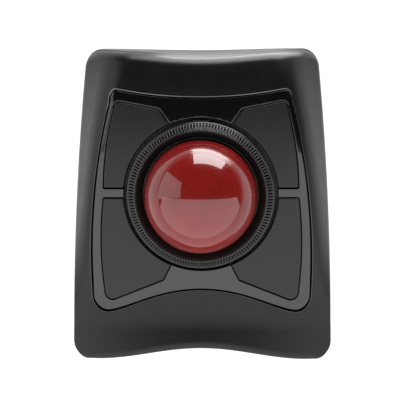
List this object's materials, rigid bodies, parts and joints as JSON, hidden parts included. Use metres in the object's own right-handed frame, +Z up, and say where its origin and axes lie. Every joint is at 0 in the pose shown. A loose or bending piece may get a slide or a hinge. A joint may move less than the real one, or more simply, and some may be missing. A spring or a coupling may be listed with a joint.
{
  "type": "finger operated trackball",
  "caption": "Desk trackball with a large ball, a ribbed scroll ring around it, corner buttons in a glossy bezel and a sloped satin shell.",
  "frame": {"origin": "centre of the footprint, on the surface it stands on", "axes": "+X to the user's right, +Y to the rear, +Z up"},
  "size_m": [0.1302, 0.1581, 0.065],
  "materials": {
    "shell_black": "satin moulded black",
    "base_black": "fine textured black",
    "bezel_gloss": "polished black",
    "chassis_grey": "moulded dark grey",
    "cup_black": "moulded black",
    "bearing_ceramic": "polished white",
    "track_acetal": "natural acetal",
    "pin_steel": "ground steel",
    "screw_steel": "zinc plated",
    "foot_rubber": "soft dark grey",
    "board_green": "solder mask green",
    "chip_black": "moulded epoxy",
    "lens_clear": "clear moulded lens",
    "switch_black": "moulded nylon",
    "switch_can": "pressed tin",
    "cell_sleeve": "printed sleeve, plain",
    "contact_nickel": "nickel plated",
    "receiver_black": "black cap and metal plug shell",
    "ball_red": "polished deep red resin with fine flecks",
    "ring_black": "ribbed satin black",
    "encoder_black": "opaque black",
    "button_grey": "satin charcoal",
    "plunger_red": "moulded red",
    "knob_grey": "mid grey"
  },
  "bodies": {
    "housing": {"top_shell": "shell_black", "base_shell": "base_black", "bezel": "bezel_gloss", "chassis": "chassis_grey", "ball_cup": "cup_black", "support_bearings": "bearing_ceramic", "ring_track": "track_acetal", "hinge_pins": "pin_steel", "case_screws": "screw_steel", "bezel_screws": "screw_steel", "cup_screws": "screw_steel", "board_screws": "screw_steel", "rubber_feet": "foot_rubber", "main_board": "board_green", "controller_chip": "chip_black", "left_switch_board": "board_green", "right_switch_board": "board_green", "front_left_switch": "switch_black", "front_right_switch": "switch_black", "rear_left_switch": "switch_black", "rear_right_switch": "switch_black", "encoder_fork": "chip_black", "sensor_board": "board_green", "sensor_chip": "chip_black", "sensor_lens": "lens_clear", "power_switch": "switch_can", "mode_switch": "switch_can", "connect_switch": "switch_can", "front_cell": "cell_sleeve", "rear_cell": "cell_sleeve", "battery_springs": "contact_nickel", "contact_plates": "contact_nickel", "door_pin": "pin_steel", "usb_receiver": "receiver_black"},
    "ball": {"ball": "ball_red"},
    "scroll_wheel": {"scroll_ring": "ring_black", "encoder_ring": "encoder_black"},
    "door": {"battery_door": "base_black"},
    "power_knob": {"power_slider": "knob_grey"},
    "mode_knob": {"mode_slider": "knob_grey"},
    "connect_key": {"connect_button": "knob_grey"},
    "front_left_key": {"front_left_button": "button_grey"},
    "front_left_actuator": {"front_left_plunger": "plunger_red"},
    "front_right_key": {"front_right_button": "button_grey"},
    "front_right_actuator": {"front_right_plunger": "plunger_red"},
    "rear_left_key": {"rear_left_button": "button_grey"},
    "rear_left_actuator": {"rear_left_plunger": "plunger_red"},
    "rear_right_key": {"rear_right_button": "button_grey"},
    "rear_right_actuator": {"rear_right_plunger": "plunger_red"}
  },
  "joints": [
    {"name": "ball_roll", "type": "hinge", "parent": "housing", "child": "ball", "pos_m": [0, 0.0027, 0.0375], "axis": [1, 0, 0], "continuous": true},
    {"name": "ring_scroll", "type": "hinge", "parent": "housing", "child": "scroll_wheel", "pos_m": [0, 0.0027, 0.0375], "axis": [0, -0.1564, 0.9877], "continuous": true},
    {"name": "front_left_press", "type": "hinge", "parent": "housing", "child": "front_left_key", "pos_m": [-0.042, -0.01984, 0.01999], "axis": [0, 0.9877, 0.1564], "range_deg": [0, 2.2], "stiffness_Nm_per_rad": 0.1, "springref_deg": -1.72},
    {"name": "front_left_click", "type": "slide", "parent": "housing", "child": "front_left_actuator", "axis": [0, 0.1564, -0.9877], "range_m": [0, 0.00036]},
    {"name": "front_right_press", "type": "hinge", "parent": "housing", "child": "front_right_key", "pos_m": [0.042, -0.01984, 0.01999], "axis": [0, -0.9877, -0.1564], "range_deg": [0, 2.2], "stiffness_Nm_per_rad": 0.1, "springref_deg": -1.72},
    {"name": "front_right_click", "type": "slide", "parent": "housing", "child": "front_right_actuator", "axis": [0, 0.1564, -0.9877], "range_m": [0, 0.00036]},
    {"name": "rear_left_press", "type": "hinge", "parent": "housing", "child": "rear_left_key", "pos_m": [-0.04, 0.02856, 0.02765], "axis": [0, 0.9877, 0.1564], "range_deg": [0, 2.2], "stiffness_Nm_per_rad": 0.1, "springref_deg": -1.72},
    {"name": "rear_left_click", "type": "slide", "parent": "housing", "child": "rear_left_actuator", "axis": [0, 0.1564, -0.9877], "range_m": [0, 0.00036]},
    {"name": "rear_right_press", "type": "hinge", "parent": "housing", "child": "rear_right_key", "pos_m": [0.04, 0.02856, 0.02765], "axis": [0, -0.9877, -0.1564], "range_deg": [0, 2.2], "stiffness_Nm_per_rad": 0.1, "springref_deg": -1.72},
    {"name": "rear_right_click", "type": "slide", "parent": "housing", "child": "rear_right_actuator", "axis": [0, 0.1564, -0.9877], "range_m": [0, 0.00036]},
    {"name": "door_open", "type": "hinge", "parent": "housing", "child": "door", "pos_m": [0, 0.0352, 0.0019], "axis": [-1, 0, 0], "range_deg": [0, 90]},
    {"name": "power_slide", "type": "slide", "parent": "housing", "child": "power_knob", "axis": [1, 0, 0], "range_m": [0, 0.004]},
    {"name": "mode_slide", "type": "slide", "parent": "housing", "child": "mode_knob", "axis": [1, 0, 0], "range_m": [0, 0.004]},
    {"name": "connect_press", "type": "slide", "parent": "housing", "child": "connect_key", "axis": [0, 0, 1], "range_m": [0, 0.0008], "stiffness_N_per_m": 400, "springref_m": -0.0005}
  ],
  "couplings": [
    {"joint": "front_left_click", "follows": "front_left_press", "m_per_rad": 0.009},
    {"joint": "front_right_click", "follows": "front_right_press", "m_per_rad": 0.009},
    {"joint": "rear_left_click", "follows": "rear_left_press", "m_per_rad": 0.009},
    {"joint": "rear_right_click", "follows": "rear_right_press", "m_per_rad": 0.009}
  ]
}
